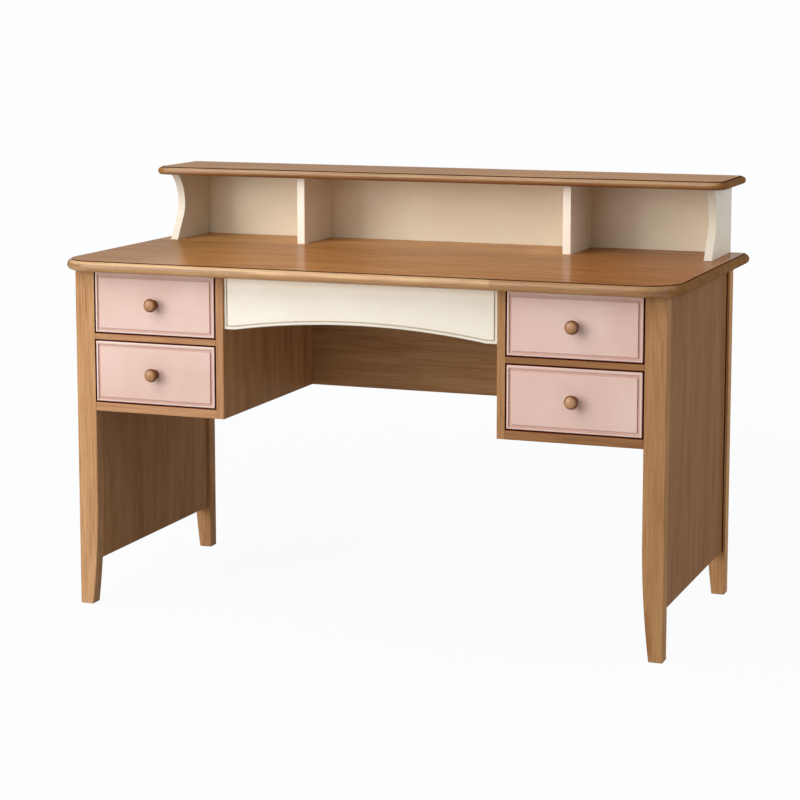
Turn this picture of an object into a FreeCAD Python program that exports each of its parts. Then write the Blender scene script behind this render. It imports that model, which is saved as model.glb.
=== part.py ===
import FreeCAD, Part
import os
import Sketcher

# Student desk with two pairs of drawers and a low hutch.
# Millimetres. X runs to the right, Y to the back, Z up. The origin is on the
# floor, under the middle of the desktop.

doc = FreeCAD.newDocument("student_desk")

# --- Driving dimensions -----------------------------------------------------
# Every size below is one cell of the spreadsheet, with the name as its alias.

DIMENSIONS = [
    # desktop
    ("desk_width", 1364), ("desk_depth", 660), ("desk_height", 760),
    ("desktop_thickness", 24), ("desktop_corner", 82), ("desktop_round", 11),
    ("quirk_inset", 9.5), ("quirk_rise", 1.8),
    # legs: rectangular above, one sabre curve on one side below the knee
    ("legs_half_span", 653), ("leg_front", 288), ("leg_back", 304),
    ("leg_width", 46), ("leg_depth", 30), ("foot_width", 30), ("knee_height", 255),
    # panels and rails of the carcase
    ("side_panel_setback", 8), ("side_panel_bottom", 98), ("board", 18),
    ("kneehole_half", 303), ("modesty_front", 190), ("modesty_thickness", 16),
    ("pedestal_bottom", 431), ("bottom_thickness", 20),
    ("divider_bottom", 586), ("divider_height", 15),
    ("rear_rail_height", 70), ("rear_rail_thickness", 22), ("rear_rail_front", 278),
    # kneehole apron
    ("apron_thickness", 18), ("apron_setback", 5), ("apron_end_bottom", 623),
    ("arch_half_span", 278), ("arch_rise", 22),
    # beads and routed grooves on the apron and the drawer fronts
    ("bead_round", 2.4), ("groove_sink", 3), ("groove_rim", 0.8),
    ("apron_bead", 5.5), ("apron_groove", 2.8), ("front_groove", 5.8),
    ("field_border", 10.4), ("field_bottom_border", 9.6), ("field_top_border", 12.2),
    # drawer fronts and the gaps round them
    ("front_height", 131), ("front_thickness", 20), ("front_proud", 1),
    ("side_gap", 2.5), ("lower_front_bottom", 453), ("upper_front_bottom", 603),
    # drawer boxes
    ("box_side", 12), ("box_height", 100), ("box_length", 400), ("box_lift", 12),
    ("box_bottom", 6), ("groove_up", 10), ("groove_depth", 6), ("groove_play", 0.2),
    # three-part ball-bearing slides
    ("slide_space", 12.7), ("slide_length", 396), ("slide_setback", 4),
    ("slide_metal", 1.2),
    ("slide_middle", 42), ("cabinet_half", 22.5), ("cabinet_flange", 9.6),
    ("mid_half", 18.4), ("mid_start", 2.1), ("mid_flange", 8.5),
    ("runner_half", 14.2), ("runner_flange", 8.5),
    # turned knob
    ("knob_radius", 14.5), ("knob_length", 27.5), ("knob_seat", 10), ("knob_neck_end", 12.5),
    ("knob_neck_rim", 11), ("knob_widest_at", 18.2), ("knob_dome_at", 24.2),
    ("knob_dome_radius", 11.5), ("knob_rim_round", 8), ("knob_neck_round", 9),
    # hutch
    ("hutch_height", 170), ("hutch_half_width", 671), ("hutch_top_front", 118),
    ("hutch_top_thickness", 18), ("hutch_corner", 38), ("hutch_round", 8),
    ("bracket_outer", 640), ("bracket_foot", 184), ("bracket_head", 180),
    ("bracket_waist", 143), ("waist_height", 82), ("scoop_depth", 151.3),
    ("scoop_height", 53), ("divider_middle", 315), ("divider_depth", 173),
    ("hutch_back_thickness", 8),
    # softened edges
    ("soft_edge", 1), ("leg_soft_edge", 2), ("foot_chamfer", 1.5),
]

sheet = doc.addObject("Spreadsheet::Sheet", "dims")
sheet.Label = "Dimensions"


class Size:
    """A length that keeps the spreadsheet formula it was worked out with."""

    def __init__(self, value, formula):
        self.value = value
        self.formula = formula

    def __add__(self, other):
        other = as_size(other)
        return Size(self.value + other.value, "(%s + %s)" % (self.formula, other.formula))

    def __sub__(self, other):
        other = as_size(other)
        return Size(self.value - other.value, "(%s - %s)" % (self.formula, other.formula))

    def __mul__(self, other):
        other = as_size(other)
        return Size(self.value * other.value, "(%s * %s)" % (self.formula, other.formula))

    def __truediv__(self, other):
        other = as_size(other)
        return Size(self.value / other.value, "(%s / %s)" % (self.formula, other.formula))

    def __neg__(self):
        return Size(-self.value, "(0 - %s)" % self.formula)

    def root(self):
        return Size(self.value ** 0.5, "sqrt(%s)" % self.formula)


def as_size(number):
    if isinstance(number, Size):
        return number
    return Size(float(number), "%r" % number if number >= 0 else "(0 - %r)" % -number)


class Namespace:
    pass


d = Namespace()
for row, (alias, number) in enumerate(DIMENSIONS, 1):
    sheet.set("A%d" % row, alias)
    sheet.set("B%d" % row, str(number))
    sheet.setAlias("B%d" % row, alias)
    setattr(d, alias, Size(float(number), "dims." + alias))
doc.recompute()

# Sizes that several pieces share.
half_width = d.desk_width / 2
half_depth = d.desk_depth / 2
underside = d.desk_height - d.desktop_thickness
leg_inner = d.legs_half_span - d.leg_width
panel_inner = leg_inner + d.side_panel_setback
pedestal_inner = d.kneehole_half + d.board
front_plane = -d.leg_front
opening_width = leg_inner - pedestal_inner
front_width = opening_width - d.side_gap * 2
face_y = front_plane - d.front_proud
front_back_y = face_y + d.front_thickness
box_outer = opening_width - d.slide_space * 2
hutch_bottom = d.desk_height
hutch_underside = d.desk_height + d.hutch_height - d.hutch_top_thickness
pieces = []


# --- Small construction steps ------------------------------------------------

def start_body(name, label):
    body = doc.addObject("PartDesign::Body", name)
    body.Label = label
    pieces.append(body)
    return body


def place(body, x, y, z):
    for axis, value in zip("xyz", (x, y, z)):
        body.setExpression("Placement.Base." + axis, as_size(value).formula)


def add_sketch(body, name, plane, lift=None):
    """A sketch on one of the body's own origin planes, lifted off it if asked."""
    sketch = body.newObject("Sketcher::SketchObject", name)
    support = [f for f in body.Origin.OriginFeatures if f.Role == plane + "_Plane"][0]
    sketch.AttachmentSupport = (support, [""])
    sketch.MapMode = "FlatFace"
    if lift is not None:
        sketch.setExpression("AttachmentOffset.Base.z", lift.formula)
    return sketch


def arc_through(a, b, radius):
    """Arc from a to b. A positive radius turns left on the way, a negative one right."""
    ax, ay, bx, by, r = a[0].value, a[1].value, b[0].value, b[1].value, radius.value
    if r < 0:
        ax, ay, bx, by, r = bx, by, ax, ay, -r
    chord = FreeCAD.Vector(bx - ax, by - ay, 0)
    reach = (r * r - chord.Length ** 2 / 4) ** 0.5
    normal = FreeCAD.Vector(-chord.y, chord.x, 0).normalize()
    centre = FreeCAD.Vector(ax, ay, 0) + chord * 0.5 + normal * reach
    start = FreeCAD.Vector(ax, ay, 0) - centre
    end = FreeCAD.Vector(bx, by, 0) - centre
    x_axis = FreeCAD.Vector(1, 0, 0)
    angles = [x_axis.getAngle(v) * (1 if v.y >= 0 else -1) for v in (start, end)]
    circle = Part.Circle(centre, FreeCAD.Vector(0, 0, 1), r)
    return Part.ArcOfCircle(circle, angles[0], angles[1])


def fix_coordinate(sketch, kind, edge, point, value):
    if abs(value.value) < 1e-9:
        axis = -2 if kind == "DistanceX" else -1
        sketch.addConstraint(Sketcher.Constraint("PointOnObject", edge, point, axis))
        return
    index = sketch.addConstraint(Sketcher.Constraint(kind, edge, point, value.value))
    sketch.setExpression("Constraints[%d]" % index, value.formula)


def draw_outline(sketch, corners, arcs=None):
    """Closed outline through the corners. arcs gives the radius of each edge that
    is an arc, by the number of the corner where the edge starts."""
    arcs = arcs or {}
    corners = [(as_size(x), as_size(y)) for x, y in corners]
    count, first = len(corners), sketch.GeometryCount
    ends = []
    for i, a in enumerate(corners):
        b = corners[(i + 1) % count]
        if i in arcs:
            radius = as_size(arcs[i])
            sketch.addGeometry(arc_through(a, b, radius), False)
            ends.append((1, 2) if radius.value > 0 else (2, 1))
        else:
            points = [FreeCAD.Vector(p[0].value, p[1].value, 0) for p in (a, b)]
            sketch.addGeometry(Part.LineSegment(points[0], points[1]), False)
            ends.append((1, 2))
    for i in range(count):
        j = (i + 1) % count
        sketch.addConstraint(Sketcher.Constraint(
            "Coincident", first + i, ends[i][1], first + j, ends[j][0]))
    for i, (x, y) in enumerate(corners):
        fix_coordinate(sketch, "DistanceX", first + i, ends[i][0], x)
        fix_coordinate(sketch, "DistanceY", first + i, ends[i][0], y)
    for i, radius in arcs.items():
        size = as_size(radius)
        index = sketch.addConstraint(Sketcher.Constraint("Radius", first + i, abs(size.value)))
        sketch.setExpression("Constraints[%d]" % index,
                             size.formula if size.value > 0 else (-size).formula)


def rectangle(x0, y0, x1, y1):
    return [(x0, y0), (x1, y0), (x1, y1), (x0, y1)]


def add_pad(body, sketch, length, away=False):
    """Pad along the sketch plane's normal, or the other way."""
    pad = body.newObject("PartDesign::Pad", sketch.Name + "_pad")
    pad.Profile = sketch
    pad.setExpression("Length", as_size(length).formula)
    pad.Reversed = away
    sketch.Visibility = False
    doc.recompute()
    return pad


def edges_where(feature, wanted):
    """Names of the feature's edges whose bounding box passes the test."""
    return ["Edge%d" % n for n, edge in enumerate(feature.Shape.Edges, 1)
            if wanted(edge.BoundBox)]


def soften(body, feature, radius, wanted, kind="Fillet"):
    """Round or chamfer the chosen edges of the body's last feature."""
    names = edges_where(feature, wanted)
    if not names:
        raise RuntimeError("no edge to soften on " + body.Name)
    edge = body.newObject("PartDesign::" + kind, body.Name + "_" + kind.lower())
    edge.Base = (feature, names)
    edge.setExpression("Radius" if kind == "Fillet" else "Size", radius.formula)
    doc.recompute()
    return edge


def flat(length):
    return length < 0.01


def on_side(side, near, width):
    """Left-hand X of a piece whose near face is this far from the middle."""
    return near if side == "right" else -(near + width)


def make_board(name, label, corner, size, rounded=None):
    """Plain board given by its lowest corner and its size along X, Y and Z."""
    body = start_body(name, label)
    sketch = add_sketch(body, name + "_outline", "XY")
    draw_outline(sketch, rectangle(0, 0, size[0], size[1]))
    pad = add_pad(body, sketch, size[2])
    if rounded:
        soften(body, pad, d.soft_edge, rounded)
    place(body, *corner)
    return body


def front_edges(box):
    """Edges round the face of a board that looks to the front."""
    return flat(box.YLength) and box.YMax < 0.01


# --- Desktop and hutch top ----------------------------------------------------

def make_top(name, label, half, front, corner, thickness, radius, bottom_z):
    """Board with round front corners, a round nose on three sides, and a fine
    quirk where the nose meets the flat. Its back edge is square."""
    body = start_body(name, label)
    back = half_depth
    level = thickness - d.quirk_rise

    def outline(inset):
        x, y, r = half - inset, front + inset, corner - inset
        corners = [(-x, back), (-x, y + r), (-x + r, y), (x - r, y), (x, y + r), (x, back)]
        return corners, {1: r, 3: r}

    blank = add_sketch(body, name + "_outline", "XY")
    draw_outline(blank, *outline(as_size(0)))
    pad = add_pad(body, blank, level)
    rear = back.value
    soften(body, pad, radius, lambda box: flat(box.ZLength)
           and not (flat(box.YLength) and box.YMin > rear - 0.01))
    flat_top = add_sketch(body, name + "_flat", "XY", level - d.quirk_rise)
    draw_outline(flat_top, *outline(d.quirk_inset))
    add_pad(body, flat_top, d.quirk_rise * 2)
    place(body, 0, 0, bottom_z)


make_top("desktop", "Desktop", half_width, -half_depth, d.desktop_corner,
         d.desktop_thickness, d.desktop_round, underside)
make_top("hutch_top", "Hutch top", d.hutch_half_width, d.hutch_top_front, d.hutch_corner,
         d.hutch_top_thickness, d.hutch_round, hutch_underside)


# --- Legs ---------------------------------------------------------------------

def make_leg(name, label, x_upright, curved_side, y_front):
    """Leg with one upright face, at x_upright. The other face, on the curved side,
    sweeps in below the knee."""
    body = start_body(name, label)
    sketch = add_sketch(body, name + "_outline", "XZ")
    cut = d.leg_width - d.foot_width
    sabre = (d.knee_height * d.knee_height + cut * cut) / (cut * 2)
    corners = [(0, 0), (d.foot_width, 0), (d.leg_width, d.knee_height),
               (d.leg_width, underside), (0, underside)]
    arcs = {1: sabre}
    if curved_side == "left":
        corners = [(-as_size(x), z) for x, z in corners]
        arcs = {1: -sabre}
    draw_outline(sketch, corners, arcs)
    pad = add_pad(body, sketch, d.leg_depth, away=True)
    rounded = soften(body, pad, d.leg_soft_edge, lambda box: box.ZLength > 10)
    soften(body, rounded, d.foot_chamfer, lambda box: box.ZMax < 0.01, "Chamfer")
    place(body, x_upright, y_front, 0)


# Three legs curve on the side that faces the kneehole. The left rear leg curves on
# its outer side.
rear_leg_front = d.leg_back - d.leg_depth
make_leg("left_front_leg", "Left front leg", -d.legs_half_span, "right", front_plane)
make_leg("right_front_leg", "Right front leg", d.legs_half_span, "left", front_plane)
make_leg("left_rear_leg", "Left rear leg", -leg_inner, "left", rear_leg_front)
make_leg("right_rear_leg", "Right rear leg", d.legs_half_span, "left", rear_leg_front)


# --- Carcase: side panels, pedestals, modesty panel, rails ----------------------

front_leg_back = front_plane + d.leg_depth
side_thickness = d.leg_width - d.side_panel_setback * 2

for side in ("left", "right"):
    title = side.title()
    make_board("%s_side_panel" % side, "%s side panel" % title,
               (on_side(side, panel_inner, side_thickness), front_leg_back,
                d.side_panel_bottom),
               (side_thickness, rear_leg_front - front_leg_back,
                underside - d.side_panel_bottom),
               lambda box: flat(box.ZLength) and flat(box.XLength) and box.ZMax < 0.01)
    make_board("%s_inner_panel" % side, "%s pedestal inner panel" % title,
               (on_side(side, d.kneehole_half, d.board), front_plane, d.pedestal_bottom),
               (d.board, d.modesty_front + d.leg_front, underside - d.pedestal_bottom),
               front_edges)
    make_board("%s_drawer_divider" % side, "%s rail between the drawers" % title,
               (on_side(side, pedestal_inner, opening_width), front_plane,
                d.divider_bottom),
               (opening_width, d.leg_depth, d.divider_height), front_edges)
    make_board("%s_runner_board" % side, "%s packing board for the slides" % title,
               (on_side(side, leg_inner, d.side_panel_setback), front_leg_back,
                d.pedestal_bottom + d.bottom_thickness),
               (d.side_panel_setback, d.modesty_front - front_leg_back,
                underside - d.pedestal_bottom - d.bottom_thickness))


def make_pedestal_bottom(side):
    """Bottom board of a pedestal, notched round the front leg."""
    name = "%s_pedestal_bottom" % side
    body = start_body(name, "%s pedestal bottom" % side.title())
    sketch = add_sketch(body, name + "_outline", "XY")
    wide = panel_inner - pedestal_inner
    deep = d.modesty_front + d.leg_front
    corners = [(0, 0), (opening_width, 0), (opening_width, d.leg_depth),
               (wide, d.leg_depth), (wide, deep), (0, deep)]
    if side == "left":
        corners = [(-as_size(x), y) for x, y in corners]
    draw_outline(sketch, corners)
    pad = add_pad(body, sketch, d.bottom_thickness)
    soften(body, pad, d.soft_edge, front_edges)
    x = pedestal_inner if side == "right" else -pedestal_inner
    place(body, x, front_plane, d.pedestal_bottom)


make_pedestal_bottom("left")
make_pedestal_bottom("right")
make_board("modesty_panel", "Modesty panel",
           (-panel_inner, d.modesty_front, d.pedestal_bottom),
           (panel_inner * 2, d.modesty_thickness, underside - d.pedestal_bottom),
           lambda box: flat(box.YLength) and flat(box.ZLength) and box.ZMax < 0.01)
make_board("rear_rail", "Rear rail under the desktop",
           (-leg_inner, d.rear_rail_front, underside - d.rear_rail_height),
           (leg_inner * 2, d.rear_rail_thickness, d.rear_rail_height),
           lambda box: flat(box.YLength) and flat(box.ZLength) and box.ZMax < 0.01)


# --- Beaded pieces: apron and drawer fronts ----------------------------------------

def make_beaded(name, label, outline, grooves, corner, thickness, rounded, rim):
    """Board with a routed groove on its front, which leaves a bead round the edge
    and a flat field inside. outline and grooves are closed outlines with their
    arcs, as seen from the front. rounded and rim pick the edges to soften."""
    body = start_body(name, label)
    board_sketch = add_sketch(body, name + "_outline", "XZ")
    draw_outline(board_sketch, *outline)
    pad = add_pad(body, board_sketch, thickness, away=True)
    soften(body, pad, d.bead_round, rounded)
    groove_sketch = add_sketch(body, name + "_groove", "XZ")
    for groove in grooves:
        draw_outline(groove_sketch, *groove)
    routed = body.newObject("PartDesign::Pocket", name + "_routed")
    routed.Profile = groove_sketch
    routed.setExpression("Length", d.groove_sink.formula)
    groove_sketch.Visibility = False
    doc.recompute()
    softened = body.newObject("PartDesign::Fillet", name + "_rim")
    softened.Base = (routed, edges_where(routed, rim))
    softened.setExpression("Radius", d.groove_rim.formula)
    doc.recompute()
    place(body, *corner)


def make_apron():
    """Fixed apron over the kneehole. Its lower edge is one flat arch between two
    short flats. The groove follows both ends and the lower edge up to the desktop."""
    wide, top = d.kneehole_half, underside
    low, span, rise = d.apron_end_bottom, d.arch_half_span, d.arch_rise
    radius = (span * span + rise * rise) / (rise * 2)

    def lower_edge(inset):
        """Corners from left to right, and the arch's radius, at this inset. Every
        such arch has the same centre."""
        arch = radius + inset
        drop = arch - rise
        half = (arch * arch - drop * drop).root()
        level = low + inset
        return [(-(wide - inset), level), (-half, level), (half, level),
                (wide - inset, level)], arch

    edge, edge_arch = lower_edge(as_size(0))
    outer, outer_arch = lower_edge(d.apron_bead)
    inner, inner_arch = lower_edge(d.apron_bead + d.apron_groove)
    board = edge + [(wide, top), (-wide, top)]
    groove = ([(outer[0][0], top)] + outer + [(outer[3][0], top), (inner[3][0], top)]
              + inner[::-1] + [(inner[0][0], top)])
    past_bead = (wide - d.bead_round).value - 0.5
    over_bead = (low + d.bead_round).value + 0.5
    make_beaded("apron", "Kneehole apron", (board, {1: -edge_arch}),
                [(groove, {2: -outer_arch, 8: inner_arch})],
                (0, front_plane + d.apron_setback, 0), d.apron_thickness,
                lambda box: front_edges(box) and box.ZMin < top.value - 0.01,
                lambda box: front_edges(box) and -past_bead < box.XMin
                and box.XMax < past_bead and over_bead < box.ZMin < top.value - 0.01)


make_apron()


# --- Drawers -----------------------------------------------------------------------

def make_drawer_front(name, label, x, z):
    wide, high = front_width, d.front_height

    def ring(side, bottom, top):
        return rectangle(side, bottom, wide - side, high - top)

    width = d.front_groove
    field = ring(d.field_border, d.field_bottom_border, d.field_top_border)
    bead = ring(d.field_border - width, d.field_bottom_border - width,
                d.field_top_border - width)
    clear = (d.field_bottom_border - width).value - 0.5
    make_beaded(name, label, (rectangle(0, 0, wide, high), {}), [(bead, {}), (field, {})],
                (x, face_y, z), d.front_thickness, front_edges,
                lambda box: front_edges(box) and box.XMin > clear and box.ZMin > clear
                and box.XMax < wide.value - clear and box.ZMax < high.value - clear)


def make_box_side(name, label, x, z, groove_on_right):
    """Side of a drawer box, with the groove that holds the drawer bottom."""
    body = start_body(name, label)
    sketch = add_sketch(body, name + "_outline", "XZ")
    deep = d.box_side - d.groove_depth
    low = d.groove_up
    high = d.groove_up + d.box_bottom + d.groove_play
    corners = [(0, 0), (d.box_side, 0), (d.box_side, low), (deep, low), (deep, high),
               (d.box_side, high), (d.box_side, d.box_height), (0, d.box_height)]
    if not groove_on_right:
        corners = [(d.box_side - x_, z_) for x_, z_ in corners]
    draw_outline(sketch, corners)
    pad = add_pad(body, sketch, d.box_length, away=True)
    top = d.box_height.value
    soften(body, pad, d.soft_edge, lambda box: flat(box.XLength) and flat(box.ZLength)
           and box.ZMin > top - 0.01)
    place(body, x, front_back_y, z)


def make_knob(name, label, x, z):
    body = start_body(name, label)
    sketch = add_sketch(body, name + "_half_outline", "XY")
    neck, rim = d.knob_neck_end, d.knob_neck_rim
    dome_rise = d.knob_length - d.knob_dome_at
    dome = (d.knob_dome_radius * d.knob_dome_radius + dome_rise * dome_rise) / (dome_rise * 2)
    corners = [(0, 0), (0, -d.knob_length), (d.knob_dome_radius, -d.knob_dome_at),
               (d.knob_radius, -d.knob_widest_at), (rim, -neck), (d.knob_seat, 0)]
    draw_outline(sketch, corners, {1: dome, 2: d.knob_rim_round, 3: d.knob_rim_round,
                                   4: -d.knob_neck_round})
    turned = body.newObject("PartDesign::Revolution", name + "_turned")
    turned.Profile = sketch
    turned.ReferenceAxis = (sketch, ["V_Axis"])
    turned.Angle = 360
    sketch.Visibility = False
    doc.recompute()
    place(body, x, face_y, z)


def slide_channel(web_x, flange_x, half, metal):
    """Corners of a C-shaped channel. It opens from the web towards the flanges."""
    inner = web_x + metal if flange_x.value > web_x.value else web_x - metal
    return [(web_x, -half), (flange_x, -half), (flange_x, -half + metal),
            (inner, -half + metal), (inner, half - metal), (flange_x, half - metal),
            (flange_x, half), (web_x, half)]


def make_slides(name, label, web, flange, half, x_left, x_right, z, y_start):
    """One member of both slides of a drawer. web and flange are distances from
    the cabinet wall towards the drawer, on the left and mirrored on the right."""
    body = start_body(name, label)
    sketch = add_sketch(body, name + "_outline", "XZ")
    across = x_right - x_left
    left = slide_channel(web, flange, half, d.slide_metal)
    draw_outline(sketch, left)
    draw_outline(sketch, [(across - x_, z_) for x_, z_ in left])
    add_pad(body, sketch, d.slide_length, away=True)
    place(body, x_left, y_start, z)


def make_drawer(side, level, front_bottom):
    prefix = "%s_%s" % (side, level)
    words = "%s %s drawer" % (side.title(), level)
    x0 = on_side(side, pedestal_inner, opening_width)
    box_x = x0 + d.slide_space
    box_z = front_bottom + d.box_lift
    inner_x = box_x + d.box_side
    inner_width = box_outer - d.box_side * 2
    make_drawer_front(prefix + "_drawer_front", words + " front", x0 + d.side_gap,
                      front_bottom)
    make_box_side(prefix + "_drawer_left_side", words + " left side", box_x, box_z, True)
    make_box_side(prefix + "_drawer_right_side", words + " right side",
                  inner_x + inner_width, box_z, False)
    floor_top = d.groove_up + d.box_bottom
    make_board(prefix + "_drawer_back", words + " back",
               (inner_x, front_back_y + d.box_length - d.box_side, box_z + floor_top),
               (inner_width, d.box_side, d.box_height - floor_top),
               lambda box: flat(box.YLength) and flat(box.ZLength) and box.ZMin > 1)
    play = d.groove_play * 2
    make_board(prefix + "_drawer_bottom", words + " bottom",
               (inner_x - d.groove_depth + play, front_back_y, box_z + d.groove_up),
               (inner_width + d.groove_depth * 2 - play * 2, d.box_length, d.box_bottom))
    make_knob(prefix + "_knob", words + " knob", x0 + opening_width / 2,
              front_bottom + d.front_height / 2)
    slide_y = front_back_y + d.slide_setback
    slide_z = box_z + d.slide_middle
    wall = (x0, x0 + opening_width, slide_z, slide_y)
    make_slides(prefix + "_cabinet_slides", words + " slides, cabinet members",
                as_size(0), d.cabinet_flange, d.cabinet_half, *wall)
    make_slides(prefix + "_middle_slides", words + " slides, middle members",
                d.mid_start, d.mid_start + d.mid_flange, d.mid_half, *wall)
    make_slides(prefix + "_drawer_slides", words + " slides, drawer members",
                d.slide_space, d.slide_space - d.runner_flange, d.runner_half, *wall)


for side in ("left", "right"):
    make_drawer(side, "upper", d.upper_front_bottom)
    make_drawer(side, "lower", d.lower_front_bottom)


# --- Hutch --------------------------------------------------------------------------

def make_bracket(side):
    """End bracket of the hutch. Its front edge is scooped between foot and head."""
    name = "%s_hutch_bracket" % side
    body = start_body(name, "%s hutch bracket" % side.title())
    sketch = add_sketch(body, name + "_outline", "YZ")
    tall = hutch_underside - hutch_bottom
    lower_run = d.scoop_depth - d.bracket_waist
    lower_rise = d.waist_height - d.scoop_height
    upper_run = d.bracket_head - d.bracket_waist
    upper_rise = tall - d.waist_height
    lower = (lower_run * lower_run + lower_rise * lower_rise) / (lower_run * 2)
    upper = (upper_run * upper_run + upper_rise * upper_rise) / (upper_run * 2)
    corners = [(0, 0), (0, tall), (-d.bracket_head, tall),
               (-d.bracket_waist, d.waist_height), (-d.scoop_depth, d.scoop_height),
               (-d.bracket_foot, 0)]
    draw_outline(sketch, corners, {2: -upper, 3: -lower})
    pad = add_pad(body, sketch, d.board)
    reach = -d.bracket_waist.value
    thick = d.board.value
    soften(body, pad, d.soft_edge, lambda box: flat(box.XLength) and box.YMax < reach + 0.5
           and box.ZLength > 5 and box.XMax < thick + 1)
    place(body, on_side(side, d.bracket_outer - d.board, d.board), half_depth, hutch_bottom)


hutch_tall = hutch_underside - hutch_bottom
back_panel_y = half_depth - d.hutch_back_thickness
for side in ("left", "right"):
    make_bracket(side)
    make_board("%s_hutch_divider" % side, "%s hutch divider" % side.title(),
               (on_side(side, d.divider_middle - d.board / 2, d.board),
                back_panel_y - d.divider_depth + d.hutch_back_thickness, hutch_bottom),
               (d.board, d.divider_depth - d.hutch_back_thickness, hutch_tall),
               front_edges)
make_board("hutch_back_panel", "Hutch back panel",
           (-(d.bracket_outer - d.board), back_panel_y, hutch_bottom),
           ((d.bracket_outer - d.board) * 2, d.hutch_back_thickness, hutch_tall))


# --- Check and export ------------------------------------------------------------------

def check_document():
    for thing in doc.Objects:
        if "Invalid" in thing.State or "Error" in thing.State:
            raise RuntimeError("%s did not build" % thing.Name)
    for piece in pieces:
        shape = piece.Shape
        if shape.isNull() or not shape.isValid() or not shape.Solids:
            raise RuntimeError("%s has no sound solid" % piece.Name)


doc.recompute()
check_document()
os.makedirs("parts", exist_ok=True)
for piece in pieces:
    piece.Shape.exportStep("parts/%s.step" % piece.Name)
print("%d pieces written" % len(pieces))
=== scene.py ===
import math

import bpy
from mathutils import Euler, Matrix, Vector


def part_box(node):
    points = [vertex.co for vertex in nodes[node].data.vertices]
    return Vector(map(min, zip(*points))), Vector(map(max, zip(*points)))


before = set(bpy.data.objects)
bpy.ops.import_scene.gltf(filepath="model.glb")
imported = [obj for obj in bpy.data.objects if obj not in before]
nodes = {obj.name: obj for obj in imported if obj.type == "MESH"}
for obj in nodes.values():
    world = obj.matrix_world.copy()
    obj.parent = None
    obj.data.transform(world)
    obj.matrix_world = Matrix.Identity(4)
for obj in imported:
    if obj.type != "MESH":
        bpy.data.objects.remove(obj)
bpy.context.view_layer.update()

# %% [markdown]
# # A student desk with a low hutch
# The imported model already has every board, drawer and slide at its real size.
# This script gives those pieces their surfaces, then adds a floor, lamps and a
# camera. Everything is in metres: X runs to the right of the sitter, Y to the
# back and Z up.

MM = 0.001

# %% [markdown]
# ## Colours and shader nodes
# Paint cards and colour pickers give sRGB hex values, but a shader works with
# linear light, so one function does the change for every colour here. A second
# small function adds a shader node, sets its values and plugs in its inputs.
# With it a material reads as a list of steps and not as a page of wiring.

# %% A colour from its hex value
def colour(hex_value):
    """Linear RGBA from an sRGB hex string such as "C49A6C"."""
    channels = [int(hex_value[i:i + 2], 16) / 255 for i in (0, 2, 4)]
    linear = [c / 12.92 if c <= 0.04045 else ((c + 0.055) / 1.055) ** 2.4 for c in channels]
    return (*linear, 1.0)


print("honey brown in linear light:", [round(c, 3) for c in colour("C08F5F")[:3]])

# %% One function that adds a node
def add(tree, kind, settings=None, **inputs):
    """Adds a node. settings are its properties; inputs are sockets by name or by
    number (as _0, _1), given a value or the output of another node."""
    node = tree.nodes.new(kind)
    for key, value in (settings or {}).items():
        setattr(node, key, value)
    for key, value in inputs.items():
        name = int(key[1:]) if key[1:].isdigit() and key[0] == "_" else key.replace("_", " ")
        socket = node.inputs[name]
        if isinstance(value, bpy.types.NodeSocket):
            tree.links.new(value, socket)
        else:
            socket.default_value = value
    return node


def set_ramp(node, stops):
    """Gives a colour ramp its stops: (position, colour) pairs."""
    ramp = node.color_ramp
    while len(ramp.elements) < len(stops):
        ramp.elements.new(0.5)
    for element, (position, value) in zip(ramp.elements, stops):
        element.position = position
        element.color = value
    return node


def grey(level):
    """A grey between black (0) and white (1), for masks."""
    return (level, level, level, 1.0)


def new_material(name):
    """An empty material and its node tree, with only the output left."""
    material = bpy.data.materials.new(name)
    material.use_nodes = True
    tree = material.node_tree
    tree.nodes.clear()
    return material, tree, tree.nodes.new("ShaderNodeOutputMaterial")


def dress(node_names, material):
    """Gives CAD nodes a material by filling their material slots."""
    for node_name in node_names:
        piece = nodes[node_name]
        piece.data.materials.clear()
        piece.data.materials.append(material)


print("node helpers ready")

# %% [markdown]
# ## Lacquered hardwood
# The frame, the two tops and the knobs are a fine, even hardwood such as alder
# or rubberwood, planed, stained honey brown and sprayed with satin lacquer. The
# eye reads it through four things: slow changes of tone along a board, growth
# rings cut lengthwise, thin dark pores, and a soft sheen from the lacquer.
#
# One could unwrap every board and draw its grain flat. Here the grain is solid,
# as in a real log: the pattern is worked out from the place of each point, so a
# board's face, edge and end agree with each other where they meet. The rings are
# cylinders round the pith, the middle of the log. Each board has its own pith,
# some way behind its broad face and leaning a little, and so the rings run out
# of the face as long arches, as they do on a flat-sawn board.

# %% Sizes of the grain
RING_SPACING = 8 * MM        # growth rings of a fast-grown tree
FIBRE_WIDTH = 2.2 * MM       # bundles of fibres; single ones are too fine to show
FIBRE_STRETCH = 40
PORE_WIDTH = 1.0 * MM        # real pores are 0.2 mm, drawn wider so that they show
PORE_LENGTH = 14 * MM
TONE_WIDTH = 30 * MM         # slow changes of tone across a board
WANDER = 14 * MM             # how far a ring strays from a true circle
PITH_DEPTH = 70 * MM         # from the board to the middle of its log
DEPTH_STEP = 0.3             # boards differ in that depth by this share of it
SIDE_STEP = 0.5              # and in how far the pith lies to one side
LEAN = {"X": (0, 0.7, 0.9), "Y": (0.9, 0, 0.7), "Z": (0.6, 0.8, 0)}   # degrees
WAVES_PER_UNIT = 10 / math.pi   # rings per metre that a wave texture of scale 1 draws
print("rings per 100 mm of board:", round(0.1 / RING_SPACING, 1))


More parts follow.
